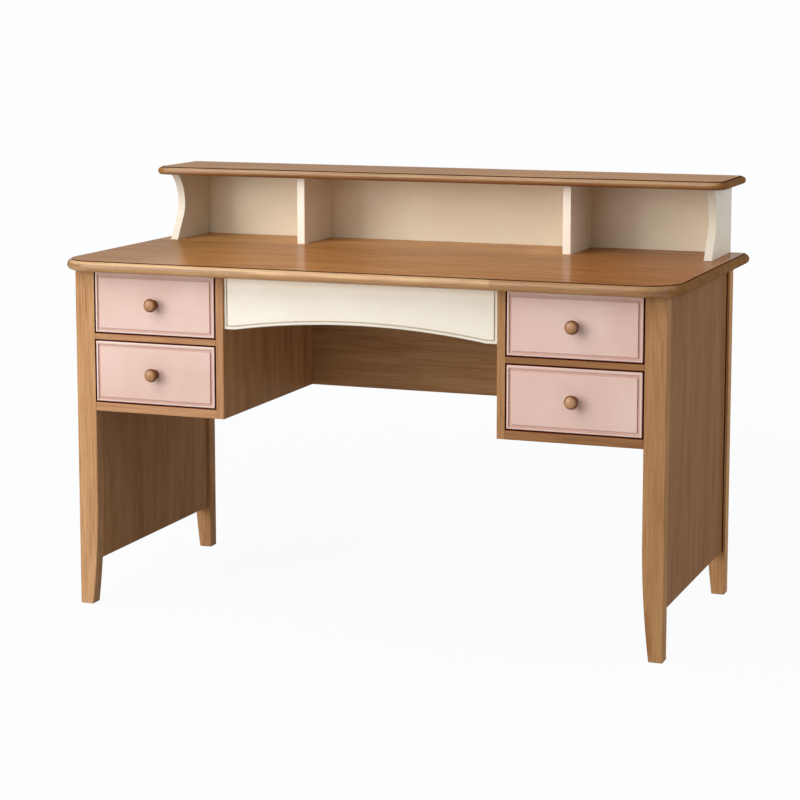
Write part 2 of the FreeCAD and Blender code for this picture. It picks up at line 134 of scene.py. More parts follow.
def along_grain(tree, axis, width, stretch, shift):
    """Object coordinates divided by a feature's width, and longer along the grain."""
    scale = [1 / width] * 3
    scale["XYZ".index(axis)] = 1 / (width * stretch)
    place = add(tree, "ShaderNodeTexCoord")
    return add(tree, "ShaderNodeMapping", {"vector_type": "POINT"},
               Vector=place.outputs["Object"], Scale=scale,
               Location=[shift * s for s in (3.1, 5.7, 8.3)]).outputs[0]


# %% Where a board lay in its log
def pith_behind(board, axis, number):
    """A point on the pith: behind the board's broad face and a little to one side."""
    low, high = (Vector(corner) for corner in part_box(board))
    size = high - low
    pith = (low + high) / 2
    thin, wide = sorted((i for i in range(3) if "XYZ"[i] != axis), key=lambda i: size[i])
    pith[thin] += PITH_DEPTH * (1 + DEPTH_STEP * (number % 3))
    pith[wide] += PITH_DEPTH * SIDE_STEP * (number % 3 - 1)
    return pith


def from_the_pith(tree, axis, pith):
    """Object coordinates measured from a pith that leans a little."""
    lean = Euler([math.radians(angle) for angle in LEAN[axis]])
    place = add(tree, "ShaderNodeTexCoord")
    return add(tree, "ShaderNodeMapping", {"vector_type": "POINT"},
               Vector=place.outputs["Object"], Rotation=lean,
               Location=-(lean.to_matrix() @ pith)).outputs[0]


print("pith of the desktop:", [round(v, 3) for v in pith_behind("desktop", "X", 0)])

# %% [markdown]
# A growth ring is pale where the tree grew fast in spring and darkens slowly to
# a thin line in autumn. Then it starts again at once. A saw-tooth wave through a
# ramp draws just that. Fibres, rings and slow tone then move the stain a little
# up or down between its three tones, and the pores are laid over it.

# %% The pattern of the wood
WANDER_WIDTH = 40 * MM       # how slowly the rings stray
FIBRE_SHARE = 0.56           # how far fibres and slow tone move the stain
TONE_SHARE = 0.40
RING_MEAN = 0.35             # of the rings' ramp, put back so that veins don't darken a board
STAIN_LIFT = 0.02


def grain_pattern(tree, axis, pith, shift, spacing, veins):
    """The stain's place between dark (0) and light (1), and the fibres and pores."""
    wander = add(tree, "ShaderNodeTexNoise", {},
                 Vector=along_grain(tree, axis, WANDER_WIDTH, 7, shift), Scale=1.0, Detail=3.0,
                 Roughness=0.55)
    bend = add(tree, "ShaderNodeVectorMath", {"operation": "SCALE"},
               Vector=wander.outputs["Color"], Scale=WANDER * spacing / RING_SPACING)
    bent = add(tree, "ShaderNodeVectorMath", {"operation": "ADD"},
               _0=from_the_pith(tree, axis, pith), _1=bend.outputs[0])
    waves = add(tree, "ShaderNodeTexWave",
                {"wave_type": "RINGS", "rings_direction": axis, "wave_profile": "SAW"},
                Vector=bent.outputs[0], Scale=1 / spacing / WAVES_PER_UNIT)
    rings = set_ramp(add(tree, "ShaderNodeValToRGB", {}, Fac=waves.outputs["Fac"]),
                     [(0.0, grey(0)), (0.70, grey(0.2)), (0.95, grey(1)), (1.0, grey(0))])
    fibres = add(tree, "ShaderNodeTexNoise", {},
                 Vector=along_grain(tree, axis, FIBRE_WIDTH, FIBRE_STRETCH, shift),
                 Scale=1.0, Detail=4.0, Roughness=0.6)
    tone = add(tree, "ShaderNodeTexNoise", {},
               Vector=along_grain(tree, axis, TONE_WIDTH, 8, shift + 1.5),
               Scale=1.0, Detail=2.0)
    pores = add(tree, "ShaderNodeTexNoise", {},
                Vector=along_grain(tree, axis, PORE_WIDTH, PORE_LENGTH / PORE_WIDTH, shift),
                Scale=1.0, Detail=1.0)
    pore_mask = set_ramp(add(tree, "ShaderNodeValToRGB", {}, Fac=pores.outputs["Fac"]),
                         [(0.62, grey(0)), (0.74, grey(1))])
    # Each pattern adds its share. The noises lie round 0.5 and the rings above 0,
    # so the sum lies round 0.5, the middle stain.
    with_rings = add(tree, "ShaderNodeMath", {"operation": "MULTIPLY_ADD"},
                     _0=rings.outputs["Color"], _1=-veins, _2=STAIN_LIFT + veins * RING_MEAN)
    with_fibres = add(tree, "ShaderNodeMath", {"operation": "MULTIPLY_ADD"},
                      _0=fibres.outputs["Fac"], _1=FIBRE_SHARE, _2=with_rings.outputs[0])
    stain = add(tree, "ShaderNodeMath", {"operation": "MULTIPLY_ADD"},
                _0=tone.outputs["Fac"], _1=TONE_SHARE, _2=with_fibres.outputs[0])
    return stain.outputs[0], fibres.outputs["Fac"], pore_mask.outputs["Color"]


print("stain without veins lies round:", round((FIBRE_SHARE + TONE_SHARE) / 2 + STAIN_LIFT, 2))

# %% [markdown]
# Some finishes lie only in certain places: glaze in a groove, stain in a corner,
# a paler foot. A mask is a number that is 1 there and 0 elsewhere. It could be
# painted on an image, but then every board would have to be unwrapped. Here a
# mask is worked out from where the point is, in the model's own metres, so it is
# laid out from the boxes of the pieces themselves.

# %% Masks by place
HAIR = 0.1 * MM       # a mask starts or stops this far below a face, clear of rounding
FAR = 1.0             # past any part of the desk


def coordinate(tree, axis):
    """One object coordinate as a number."""
    place = add(tree, "ShaderNodeTexCoord")
    parts = add(tree, "ShaderNodeSeparateXYZ", {}, Vector=place.outputs["Object"])
    return parts.outputs[axis]


def within(tree, axis, low, high):
    """1 where a coordinate lies between two values, and 0 elsewhere."""
    return add(tree, "ShaderNodeMath", {"operation": "COMPARE"}, _0=coordinate(tree, axis),
               _1=(low + high) / 2, _2=(high - low) / 2).outputs[0]


def slope(tree, axis, start, end):
    """0 up to one place and 1 from another, with a smooth change between them."""
    return add(tree, "ShaderNodeMapRange", {"interpolation_type": "SMOOTHSTEP"},
               Value=coordinate(tree, axis), From_Min=start, From_Max=end).outputs[0]


def both(tree, one, other):
    """1 only where both masks are 1."""
    return add(tree, "ShaderNodeMath", {"operation": "MULTIPLY"}, _0=one, _1=other).outputs[0]


def blend(tree, where, surface, other, how="MIX"):
    """The surface colour, changed where the mask is 1."""
    return add(tree, "ShaderNodeMix", {"data_type": "RGBA", "blend_type": how},
               _0=where, _6=surface, _7=other).outputs[2]


print("masks start or stop below a face by, mm:", round(HAIR / MM, 2))

# %% [markdown]
# The wood under the lacquer has no shine of its own, so the clear coat makes all of
# the sheen. One glossy layer would be simpler, but a coat of its own can be thick
# in one place and thin in another, which the tops need further on. Each stain is
# three colours, for the dark, middle and light places of the grain, and the
# stains step from clear honey to walnut.

# %% The hardwood itself
PORE_TINT = "8A6040"
PORE_SHADE = 0.24
SATIN = 0.48          # roughness of the wood under the coat, between the fibres
FIBRE_ROUGHNESS = 0.14


def lacquered_hardwood(name, axis, pith, shift, tones, spacing=RING_SPACING, veins=0.10,
                       coat=0.10, coat_roughness=0.30, coat_map=None, extras=()):
    """Solid wood under satin lacquer. tones are its dark, middle and light stain,
    extras are functions that work on the colour before it is lacquered, and
    coat_map, if there is one, gives the lacquer's share point by point."""
    material, tree, output = new_material(name)
    stain, fibres, pores = grain_pattern(tree, axis, pith, shift, spacing, veins)
    dark, middle, light = tones
    stained = set_ramp(add(tree, "ShaderNodeValToRGB", {}, Fac=stain),
                       [(0.30, colour(dark)), (0.50, colour(middle)), (0.70, colour(light))])
    shade = add(tree, "ShaderNodeMath", {"operation": "MULTIPLY"}, _0=pores, _1=PORE_SHADE)
    surface = blend(tree, shade.outputs[0], stained.outputs["Color"], colour(PORE_TINT),
                    "MULTIPLY")
    for extra in extras:
        surface = extra(tree, surface)
    # The lacquer sinks a little into the pores and follows the fibres.
    satin = add(tree, "ShaderNodeMath", {"operation": "MULTIPLY_ADD"},
                _0=fibres, _1=FIBRE_ROUGHNESS, _2=SATIN)
    relief = add(tree, "ShaderNodeMath", {"operation": "MULTIPLY_ADD"},
                 _0=pores, _1=-1.0, _2=fibres)
    bump = add(tree, "ShaderNodeBump", {}, Height=relief.outputs[0], Strength=0.25,
               Distance=0.06 * MM)
    shader = add(tree, "ShaderNodeBsdfPrincipled", {}, Base_Color=surface,
                 Roughness=satin.outputs[0], Normal=bump.outputs[0], IOR=1.5,
                 Specular_IOR_Level=0.0, Coat_Weight=coat, Coat_Roughness=coat_roughness)
    if coat_map:
        tree.links.new(coat_map(tree), shader.inputs["Coat Weight"])
    tree.links.new(shader.outputs[0], output.inputs["Surface"])
    return material


print("wood roughness:", SATIN, "to", round(SATIN + FIBRE_ROUGHNESS, 2))

# %% Stains for the frame
HONEY = ("976944", "BD8E61", "D0A576")
HONEY_LEG = ("8D6140", "B0845B", "C2996E")
HONEY_RUSSET = ("8A5F41", "AC7F5A", "BE946F")
HONEY_DEEP = ("855A38", "A57A51", "B58C62")
WALNUT = ("765031", "906642", "A0764D")
frame_stains = (HONEY, HONEY_LEG, HONEY_RUSSET, HONEY_DEEP, WALNUT)
print("middle stains:", [middle for _, middle, _ in frame_stains])

# %% [markdown]
# ## Legs, panels and rails
# These boards are stained one by one before the desk is put together, so they
# don't match exactly. The left-hand legs are honey brown, the rails of the
# left-hand pedestal lean to russet, the right-hand front leg and most panels are
# deeper, and the right-hand side with its rails is nearly walnut. The grain of
# legs and panels runs up and down and that of rails from side to side. The rings
# of the legs show more, because narrow stock is sawn from any part of the log.
#
# Shade is painted into the colour in an inside corner, and round the openings
# for the drawers, where it shows through the gaps as a dark red-brown line. It
# could be a thin piece of its own, but a mask on the board's colour is simpler
# and can't stand off the board. The lipping of the left-hand stile is deeper
# than its panel, and the left front leg grows paler towards its foot. Both are
# gains that multiply the stain, so the grain stays as it is.

# %% Painted shade in an inside corner
# The colour of the painted shade in the corner.
CORNER_SHADE = "3A2412"
CORNER_WIDTH = 2.4 * MM
CORNER_DEPTH = 0.3 * MM


def shade_beside_panel(tree, surface):
    """Painted shade on the rear leg, in the corner where the side panel meets it."""
    panel_low, panel_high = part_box("right_side_panel")
    panel_face = panel_high[0]
    leg_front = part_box("right_rear_leg")[0][1]
    corner = both(tree, within(tree, "X", panel_face - MM, panel_face + CORNER_WIDTH),
                  within(tree, "Y", leg_front - MM, leg_front + CORNER_DEPTH))
    beside = both(tree, corner, within(tree, "Z", panel_low[2], FAR))
    return blend(tree, beside, surface, colour(CORNER_SHADE))


print("stain in the corner, mm wide:", round(CORNER_WIDTH / MM, 1))

# %% Painted shade round the drawer openings
# The colour of the painted shade round each drawer opening.
OPENING_SHADE = "5A1C0C"
DRAWER_GAP = 2.5 * MM
# The painted shade reaches past the gap by SLACK, round the arris.
SLACK = 0.95 * MM             # the stain runs round the arris
BEFORE_FRONT = 3 * MM         # it starts this far before the drawer's face
BEHIND_FRONT = 6 * MM         # and ends this far behind the drawer front


def shade_round_drawer(drawer):
    """Red-brown painted shade on the inside of a drawer's opening, seen through the gap."""
    low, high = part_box(drawer + "_drawer_front")
    reach = DRAWER_GAP + SLACK

    def stain(tree, surface):
        opening = both(tree, within(tree, "X", low[0] - reach, high[0] + reach),
                       within(tree, "Z", low[2] - reach, high[2] + reach))
        deep = both(tree, opening,
                    within(tree, "Y", low[1] - BEFORE_FRONT, high[1] + BEHIND_FRONT))
        return blend(tree, deep, surface, colour(OPENING_SHADE))
    return stain


print("dark line round a drawer, mm:", round((DRAWER_GAP + SLACK) / MM, 2))

# %% Two boards that change in tone
RUSSET_GAIN = (0.80, 0.79, 0.88, 1.0)
LIPPING_DEPTH = 0.5 * MM
FOOT_GAIN = (1.15, 1.22, 1.30, 1.0)
FOOT_CHANGE = (420 * MM, 120 * MM)      # heights where the change starts and ends


def russet_front_edge(tree, surface):
    """The lipping on the front edge of the left inner panel is a little deeper."""
    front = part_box("left_inner_panel")[0][1]
    edge = within(tree, "Y", front - MM, front + LIPPING_DEPTH)
    return blend(tree, edge, surface, RUSSET_GAIN, "MULTIPLY")


def paler_foot(tree, surface):
    """The board of the left front leg grows paler towards the foot."""
    return blend(tree, slope(tree, "Z", *FOOT_CHANGE), surface, FOOT_GAIN, "MULTIPLY")


print("the leg turns paler between heights, mm:", [round(z / MM) for z in FOOT_CHANGE])

# %% Dress the boards of the frame
wood_boards = {
    "X": ["left_drawer_divider", "right_drawer_divider", "left_pedestal_bottom",
          "right_pedestal_bottom", "modesty_panel", "rear_rail"],
    "Z": ["left_front_leg", "right_front_leg", "left_rear_leg", "right_rear_leg",
          "left_side_panel", "right_side_panel", "left_inner_panel", "right_inner_panel"],
}
stained_boards = {
    HONEY_LEG: ["left_front_leg", "left_rear_leg"],
    HONEY_RUSSET: ["left_drawer_divider", "left_pedestal_bottom"],
    HONEY_DEEP: ["right_front_leg", "right_inner_panel", "left_side_panel", "modesty_panel"],
    WALNUT: ["right_side_panel", "right_drawer_divider", "right_pedestal_bottom"],
}
stain_of = {board: stain for stain, boards in stained_boards.items() for board in boards}
board_extras = {
    side + board: [shade_round_drawer(side + level) for level in ("upper", "lower")]
    for side in ("left_", "right_")
    for board in ("front_leg", "inner_panel", "drawer_divider", "pedestal_bottom")}
board_extras["right_rear_leg"] = [shade_beside_panel]
board_extras["left_inner_panel"].insert(0, russet_front_edge)
board_extras["left_front_leg"].insert(0, paler_foot)
LEG_VEINS = 0.09
BOARD_VEINS = 0.06
for axis, boards in wood_boards.items():
    for number, board in enumerate(boards):
        grain_shift = number * 1.7 + 0.4    # so that no two boards have the same grain
        dress([board], lacquered_hardwood(
            "hardwood_" + board, axis, pith_behind(board, axis, number), grain_shift,
            stain_of.get(board, HONEY), veins=LEG_VEINS if board.endswith("leg") else BOARD_VEINS,
            extras=board_extras.get(board, [])))
print("wooden boards dressed:", sum(len(boards) for boards in wood_boards.values()))

# %% [markdown]
# ## The two tops
# The desktop and the hutch top are finished with more coats, because hands and
# books rub them. They are stained a deeper chestnut and shine more. Where the flat
# meets the round nose there is a fine step, a quirk, and a thin line of painted
# shade is laid on it round both tops. The step is in the model, so the painted
# shade only has to be laid on the heights that the step takes up.

# %% Painted shade in the quirk
QUIRK_RISE = 1.8 * MM
# The colour of the painted shade on the quirk's riser.
QUIRK_SHADE = "40240F"
# The painted shade runs a little past the foot of the step.
SHADE_RUN = 0.2 * MM          # the glaze runs a little past the foot of the step


def quirk_shade(board):
    """Painted shade on the small riser just below the flat."""
    top_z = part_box(board)[1][2]

    def painted_light(tree, surface):
        riser = within(tree, "Z", top_z - QUIRK_RISE - SHADE_RUN, top_z - HAIR)
        return blend(tree, riser, surface, colour(QUIRK_SHADE))
    return painted_light


print("quirk, mm:", round(QUIRK_RISE / MM, 1))

# %% [markdown]
# The round nose of each top gets a painted highlight along its crown and painted
# shade towards its underside, so it is pale above and deep below. The pale band
# is narrow at the left, with a deeper waist under it, and broad along the rest.
# The nose of the desktop is a lipping in two lengths. It deepens towards the
# joint, and the upper part of the right-hand length is deeper again, which also
# narrows the painted highlight there. The end grain at both ends of a top drinks
# more stain. A second piece with its own material could stand for the lipping,
# but the grain runs on through the nose, so gains on the stain of the flat are
# used: red, green and blue.

# %% Gains on the noses: painted highlight and shade
# Painted highlight on the crown and painted shade towards the underside of each nose.
CROWN_HIGHLIGHT = (1.68, 2.45, 4.5, 1.0)
BELLY = (1.22, 1.58, 2.45, 1.0)
LEFT_BELLY = (0.82, 1.00, 1.46, 1.0)
UNDERSIDE_SHADE = (1.22, 1.47, 2.15, 1.0)
HUTCH_CROWN_HIGHLIGHT = (1.24, 1.70, 2.9, 1.0)
HUTCH_BELLY = (0.72, 0.80, 1.05, 1.0)
HUTCH_UNDERSIDE_SHADE = (0.60, 0.58, 0.62, 1.0)
JOINT_TONE = (0.82, 0.80, 0.76, 1.0)
RIGHT_UPPER = (0.73, 0.65, 0.57, 1.0)
RIGHT_LOWER = (1.02, 0.96, 0.90, 1.0)
END_GRAIN = (0.70, 0.76, 0.90, 1.0)
print("the crown gets, times the flat:", CROWN_HIGHLIGHT[:3])

# %% Painted highlight and shade on the noses
UNDERSIDE_RISE = (0.0, 0.35)    # heights are shares of the nose's height
LEFT_WAIST = (0.40, 0.56)
RIGHT_RISE = (0.20, 0.60)
NARROW_CROWN = (0.66, 0.84)
BROAD_CROWN = (0.50, 0.76)
CROWN_CHANGE = (-270 * MM, -170 * MM)    # where the narrow crown gives way to the broad
JOINT_CHANGE = (100 * MM, 270 * MM)      # where the stain deepens towards the joint
LIPPING_JOINT_X = 298 * MM
LEFT_END = (56 * MM, 8 * MM)    # the change to end grain, from the end of a top
RIGHT_END = (26 * MM, 6 * MM)


def nose_highlight_and_shade(board, underside, belly, crown, right_length=None, left_belly=None):
    """Gains from the underside of a nose to its crown: painted shade below and a
    painted highlight on the crown. right_length is the lower and the upper gain of a
    right-hand length of lipping."""
    low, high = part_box(board)
    nose_top = high[2] - QUIRK_RISE
    height = nose_top - low[2]

    def up_the_nose(tree, start, end):
        return slope(tree, "Z", low[2] + start * height, low[2] + end * height)

    def stain(tree, surface):
        gain = blend(tree, up_the_nose(tree, *UNDERSIDE_RISE), underside, belly)
        if left_belly:
            waist = both(tree, up_the_nose(tree, *LEFT_WAIST),
                         slope(tree, "X", *reversed(CROWN_CHANGE)))
            gain = blend(tree, waist, gain, left_belly)
        paler = blend(tree, slope(tree, "X", *CROWN_CHANGE), up_the_nose(tree, *NARROW_CROWN),
                      up_the_nose(tree, *BROAD_CROWN))
        gain = blend(tree, paler, gain, crown)
        if right_length:
            gain = blend(tree, slope(tree, "X", *JOINT_CHANGE), gain, JOINT_TONE, "MULTIPLY")
            right = blend(tree, up_the_nose(tree, *RIGHT_RISE), *right_length)
            joined = within(tree, "X", LIPPING_JOINT_X, FAR)
            gain = blend(tree, joined, gain, right, "MULTIPLY")
        right_end = slope(tree, "X", high[0] - RIGHT_END[0], high[0] - RIGHT_END[1])
        left_end = slope(tree, "X", low[0] + LEFT_END[0], low[0] + LEFT_END[1])
        for end in (right_end, left_end):
            gain = blend(tree, end, gain, END_GRAIN)
        return blend(tree, within(tree, "Z", 0, nose_top), surface, gain, "MULTIPLY")
    return stain


print("lipping joint, mm right of the middle:", round(LIPPING_JOINT_X / MM))

# %% [markdown]
# The lacquer isn't even either. A round nose is rubbed up brighter than a flat,
# the glazed quirk keeps little of it, and end grain soaks it up. On the flat of
# the desktop it is thinner at the left end. A coat weight can be driven point by
# point, so one material holds all of this.

# %% Lacquer on the tops
FLAT_COAT = 0.23
NOSE_COAT = 0.6
END_COAT = 0.04
USED_COAT = 0.20                # more on the flat of the desktop, from the left end inwards
LEFT_CHANGE = (-560 * MM, -330 * MM)


def top_coat(board, used_coat=0.0):
    """The lacquer's share on a top's flat, nose, quirk and ends."""
    low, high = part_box(board)
    end = RIGHT_END[0]

    def share(tree):
        below_flat = within(tree, "Z", 0, high[2] - HAIR)
        nose = both(tree, within(tree, "Z", 0, high[2] - QUIRK_RISE - SHADE_RUN),
                    within(tree, "X", low[0] + end, high[0] - end))
        on_edge = add(tree, "ShaderNodeMath", {"operation": "MULTIPLY_ADD"}, _0=nose,
                      _1=NOSE_COAT - END_COAT, _2=END_COAT - FLAT_COAT).outputs[0]
        coats = add(tree, "ShaderNodeMath", {"operation": "MULTIPLY_ADD"}, _0=below_flat,
                    _1=on_edge, _2=FLAT_COAT).outputs[0]
        if not used_coat:
            return coats
        used = both(tree, within(tree, "Z", high[2] - HAIR, high[2] + MM),
                    slope(tree, "X", *LEFT_CHANGE))
        return add(tree, "ShaderNodeMath", {"operation": "MULTIPLY_ADD"}, _0=used,
                   _1=used_coat, _2=coats).outputs[0]
    return share


print("coat on flat, used flat, nose, ends:", FLAT_COAT, round(FLAT_COAT + USED_COAT, 2),
      NOSE_COAT, END_COAT)

# %% [markdown]
# The flats are not the same all over. On the desktop the middle, and the flat
# inside the left and middle bays of the hutch, are paler: a painted reflection of
# the cream hutch in the lacquer. The hutch top grows paler towards the right.
# These changes are slow, a hand's width or more, and are gains too.

# %% Slow changes of tone, and a painted reflection, on the flats
# The paler middle and the paler flat in the bays are a painted reflection of the cream hutch.
LEFT_TONE = (0.97, 1.05, 1.14, 1.0)
MIDDLE_REFLECTION = (1.24, 1.21, 1.20, 1.0)
RIGHT_TONE = (1.08, 0.95, 0.90, 1.0)
BACK_PANEL_REFLECTION = (1.52, 1.76, 1.95, 1.0)
HUTCH_TONE = (1.06, 1.17, 1.20, 1.0)
HUTCH_RIGHT_TONE = (1.28, 1.38, 1.38, 1.0)
RIGHT_CHANGE = (220 * MM, 500 * MM)
REFLECTION_CHANGE = (-60 * MM, 90 * MM)    # along Y, from the front of the hutch
REFLECTION_END = (360 * MM, 240 * MM)
HUTCH_CHANGE = (-100 * MM, 450 * MM)


def tone_of_flat(board, tone):
    """The stain of a top's flat, multiplied by a gain that tone() works out."""
    top_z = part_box(board)[1][2]

    def change(tree, surface):
        flat = within(tree, "Z", top_z - HAIR, top_z + MM)
        return blend(tree, flat, surface, tone(tree), "MULTIPLY")
    return change


def desktop_tone_and_reflection(tree):
    """Paler in the middle and on the flat inside the left and middle bays of the
    hutch: a painted reflection of the cream hutch in the lacquer."""
    hutch_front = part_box("left_hutch_divider")[0][1]
    from_left = blend(tree, slope(tree, "X", *LEFT_CHANGE), LEFT_TONE, MIDDLE_REFLECTION)
    across = blend(tree, slope(tree, "X", *RIGHT_CHANGE), from_left, RIGHT_TONE)
    start, end = REFLECTION_CHANGE
    under = both(tree, slope(tree, "Y", hutch_front + start, hutch_front + end),
                 slope(tree, "X", *REFLECTION_END))
    return blend(tree, under, across, BACK_PANEL_REFLECTION, "MULTIPLY")


def hutch_tone(tree):
    """Paler towards the right."""
    return blend(tree, slope(tree, "X", *HUTCH_CHANGE), HUTCH_TONE, HUTCH_RIGHT_TONE)


print("the desktop turns paler between, mm:", [round(x / MM) for x in LEFT_CHANGE])

# %% Dress the tops
CHESTNUT = ("7E5029", "A06B38", "B28049")
TOP_VEINS = 0.04
TOP_GLOSS = 0.20
dress(["desktop"], lacquered_hardwood(
    "hardwood_desktop", "X", pith_behind("desktop", "X", 0), 0.9, CHESTNUT, veins=TOP_VEINS,
    coat_map=top_coat("desktop", USED_COAT), coat_roughness=TOP_GLOSS,
    extras=[tone_of_flat("desktop", desktop_tone_and_reflection), quirk_shade("desktop"),
            nose_highlight_and_shade("desktop", UNDERSIDE_SHADE, BELLY, CROWN_HIGHLIGHT, (RIGHT_LOWER, RIGHT_UPPER),
                       LEFT_BELLY)]))
dress(["hutch_top"], lacquered_hardwood(
    "hardwood_hutch_top", "X", pith_behind("hutch_top", "X", 2), 3.2, CHESTNUT, veins=TOP_VEINS,
    coat_map=top_coat("hutch_top"), coat_roughness=TOP_GLOSS,
    extras=[tone_of_flat("hutch_top", hutch_tone), quirk_shade("hutch_top"),
            nose_highlight_and_shade("hutch_top", HUTCH_UNDERSIDE_SHADE, HUTCH_BELLY, HUTCH_CROWN_HIGHLIGHT)]))

# %% [markdown]
# ## Sprayed paint
# The drawer fronts are pale pink, and the apron and the boards under the hutch top
# are cream. Both are a satin enamel, sprayed on a sanded board. Sprayed paint isn't
# perfectly flat: it dries with a faint orange peel, a ripple about a millimetre
# and a half across, its sheen changes slowly over a hand's width, and the grain
# of the board below still shows as the faintest lines. A flat colour with one
# roughness would look like plastic, so all three are drawn.

# %% Satin paint
PEEL_WIDTH = 1.6 * MM
CLOUD_WIDTH = 120 * MM
TELEGRAPH_WIDTH = 3.0 * MM   # grain lines that show through the paint
TELEGRAPH_SHARE = 0.34
TELEGRAPH_HEIGHT = 0.5       # against the height of the orange peel
SHEEN_CHANGE = 0.12


def sprayed_enamel(name, axis, shade, tint, roughness=0.42, extras=()):
    """Satin paint on a board with its grain along one axis. tint is the colour
    where the paint lies thinner."""
    material, tree, output = new_material(name)
    place = add(tree, "ShaderNodeTexCoord")
    clouds = add(tree, "ShaderNodeTexNoise", {}, Vector=place.outputs["Object"],
                 Scale=1 / CLOUD_WIDTH, Detail=3.0, Roughness=0.5)
    peel = add(tree, "ShaderNodeTexNoise", {}, Vector=place.outputs["Object"],
               Scale=1 / PEEL_WIDTH, Detail=1.5)
    lines = add(tree, "ShaderNodeTexNoise", {},
                Vector=along_grain(tree, axis, TELEGRAPH_WIDTH, 40, 0.7), Scale=1.0, Detail=3.0)
    cover = add(tree, "ShaderNodeMath", {"operation": "MULTIPLY_ADD"},
                _0=lines.outputs["Fac"], _1=TELEGRAPH_SHARE, _2=-TELEGRAPH_SHARE / 2)
    thickness = add(tree, "ShaderNodeMath", {"operation": "ADD"},
                    _0=clouds.outputs["Fac"], _1=cover.outputs[0])
    paint = set_ramp(add(tree, "ShaderNodeValToRGB", {}, Fac=thickness.outputs[0]),
                     [(0.30, colour(tint)), (0.68, colour(shade))])
    surface = paint.outputs["Color"]
    for extra in extras:
        surface = extra(tree, surface)
    satin = add(tree, "ShaderNodeMath", {"operation": "MULTIPLY_ADD"},
                _0=clouds.outputs["Fac"], _1=SHEEN_CHANGE, _2=roughness - SHEEN_CHANGE / 2)
    relief = add(tree, "ShaderNodeMath", {"operation": "MULTIPLY_ADD"},
                 _0=lines.outputs["Fac"], _1=TELEGRAPH_HEIGHT, _2=peel.outputs["Fac"])
    bump = add(tree, "ShaderNodeBump", {}, Height=relief.outputs[0], Strength=0.12,
               Distance=0.08 * MM)
    shader = add(tree, "ShaderNodeBsdfPrincipled", {}, Base_Color=surface,
                 Roughness=satin.outputs[0], Normal=bump.outputs[0], IOR=1.48,
                 Specular_IOR_Level=0.10)
    tree.links.new(shader.outputs[0], output.inputs["Surface"])
    return material


print("orange peel, mm:", round(PEEL_WIDTH / MM, 1))

# %% [markdown]
# The apron and the drawer fronts have a bead round the edge and a routed groove
# inside it. Shade is painted in the groove, and the bead gets a painted
# highlight, so it is paler than the field. The edges of a drawer front get the
# same red-brown painted shade as its opening, so that the gap stays dark. A bump
# could fake the bead and groove, but they are real shapes in the model, and only
# their colours are laid on here. The foremost edges of the hutch dividers get a
# painted highlight too, and painted light runs along the top of the apron, against
# the shade under the desktop's nose.

# %% Painted shade in the grooves
# Painted shade lies only at the bottom of the groove, and on the board's own edge, behind the
# bead.
GROOVE_DEPTH = 2.2 * MM      # glaze lies only at the bottom of the groove
EDGE_DEPTH = 1.1 * MM        # and on the board's own edge, behind the bead
BEAD_WIDTH = 3.0 * MM
NO_GAIN = (1.0, 1.0, 1.0, 1.0)


def groove_shade_and_bead_highlight(board, shade_in_groove, on_edge, bead_highlight=NO_GAIN):
    """Painted shade in the groove of a beaded board, and on its edge, which a gap
    hides. The bead round it gets a painted highlight from its gain."""
    low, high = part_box(board)

    def painted_light(tree, surface):
        inside = both(tree, within(tree, "X", low[0] + BEAD_WIDTH, high[0] - BEAD_WIDTH),
                      within(tree, "Z", low[2] + BEAD_WIDTH, high[2] - BEAD_WIDTH))
        deep = within(tree, "Y", low[1] + GROOVE_DEPTH, high[1] + MM)
        behind = within(tree, "Y", low[1] + EDGE_DEPTH, high[1] + MM)
        groove = both(tree, inside, deep)
        on_face = blend(tree, groove, surface, colour(shade_in_groove), "MULTIPLY")
        bead = blend(tree, 1.0, surface, bead_highlight, "MULTIPLY")
        edged = blend(tree, behind, bead, colour(on_edge))
        return blend(tree, inside, edged, on_face)
    return painted_light


print("glaze starts, mm below the face:", round(GROOVE_DEPTH / MM, 1))

# %% Painted light on the dividers and the apron
# Painted highlight on the dividers' front edges, and painted light along the top of the apron.
LIT_EDGE_CREAM = "F8EFE1"
TOP_LIGHT_GAIN = (1.25, 1.20, 1.15, 1.0)
TOP_LIGHT_CHANGE = (35 * MM, 5 * MM)     # down from the top of the apron


def lit_edge(divider):
    """The foremost millimetre of a divider, given a painted highlight."""
    front_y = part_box(divider)[0][1]

    def light_on_edge(tree, surface):
        edge = within(tree, "Y", front_y - MM, front_y + MM)
        return blend(tree, edge, surface, colour(LIT_EDGE_CREAM))
    return light_on_edge


def light_at_the_top(tree, surface):
    """Painted light along the top of the apron, against the shade under the desktop."""
    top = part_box("apron")[1][2]
    lit_band = slope(tree, "Z", top - TOP_LIGHT_CHANGE[0], top - TOP_LIGHT_CHANGE[1])
    return blend(tree, lit_band, surface, TOP_LIGHT_GAIN, "MULTIPLY")


print("thick paint reaches down, mm:", round(TOP_LIGHT_CHANGE[0] / MM))

# %% [markdown]
# Paint is mixed in batches, and no two are quite alike. The back of the hutch is
# a lighter, warmer cream than the apron, and the fronts on the left are a shade
# deeper than those on the right. The dividers are lighter again and the brackets
# greyer: painted light on the dividers' shaded sides and painted shade on the
# brackets. One cream and one pink would be simpler, but the pieces would look as
# if they were cast together. A drawer front needs a material of its own in any
# case, because its painted shade and highlight are laid out from its own box.

# %% Paint the apron and the hutch
CREAM = ("E7E2D6", "E1D9CA")
HUTCH_CREAM = ("F4EAD2", "EFE2C9")
# The lighter divider cream is painted light on their shaded sides; the greyer bracket cream is
# painted shade.
LIT_DIVIDER_CREAM = ("FAF2E2", "F3EAD6")
SHADED_BRACKET_CREAM = ("E2DBCD", "DCD2C0")
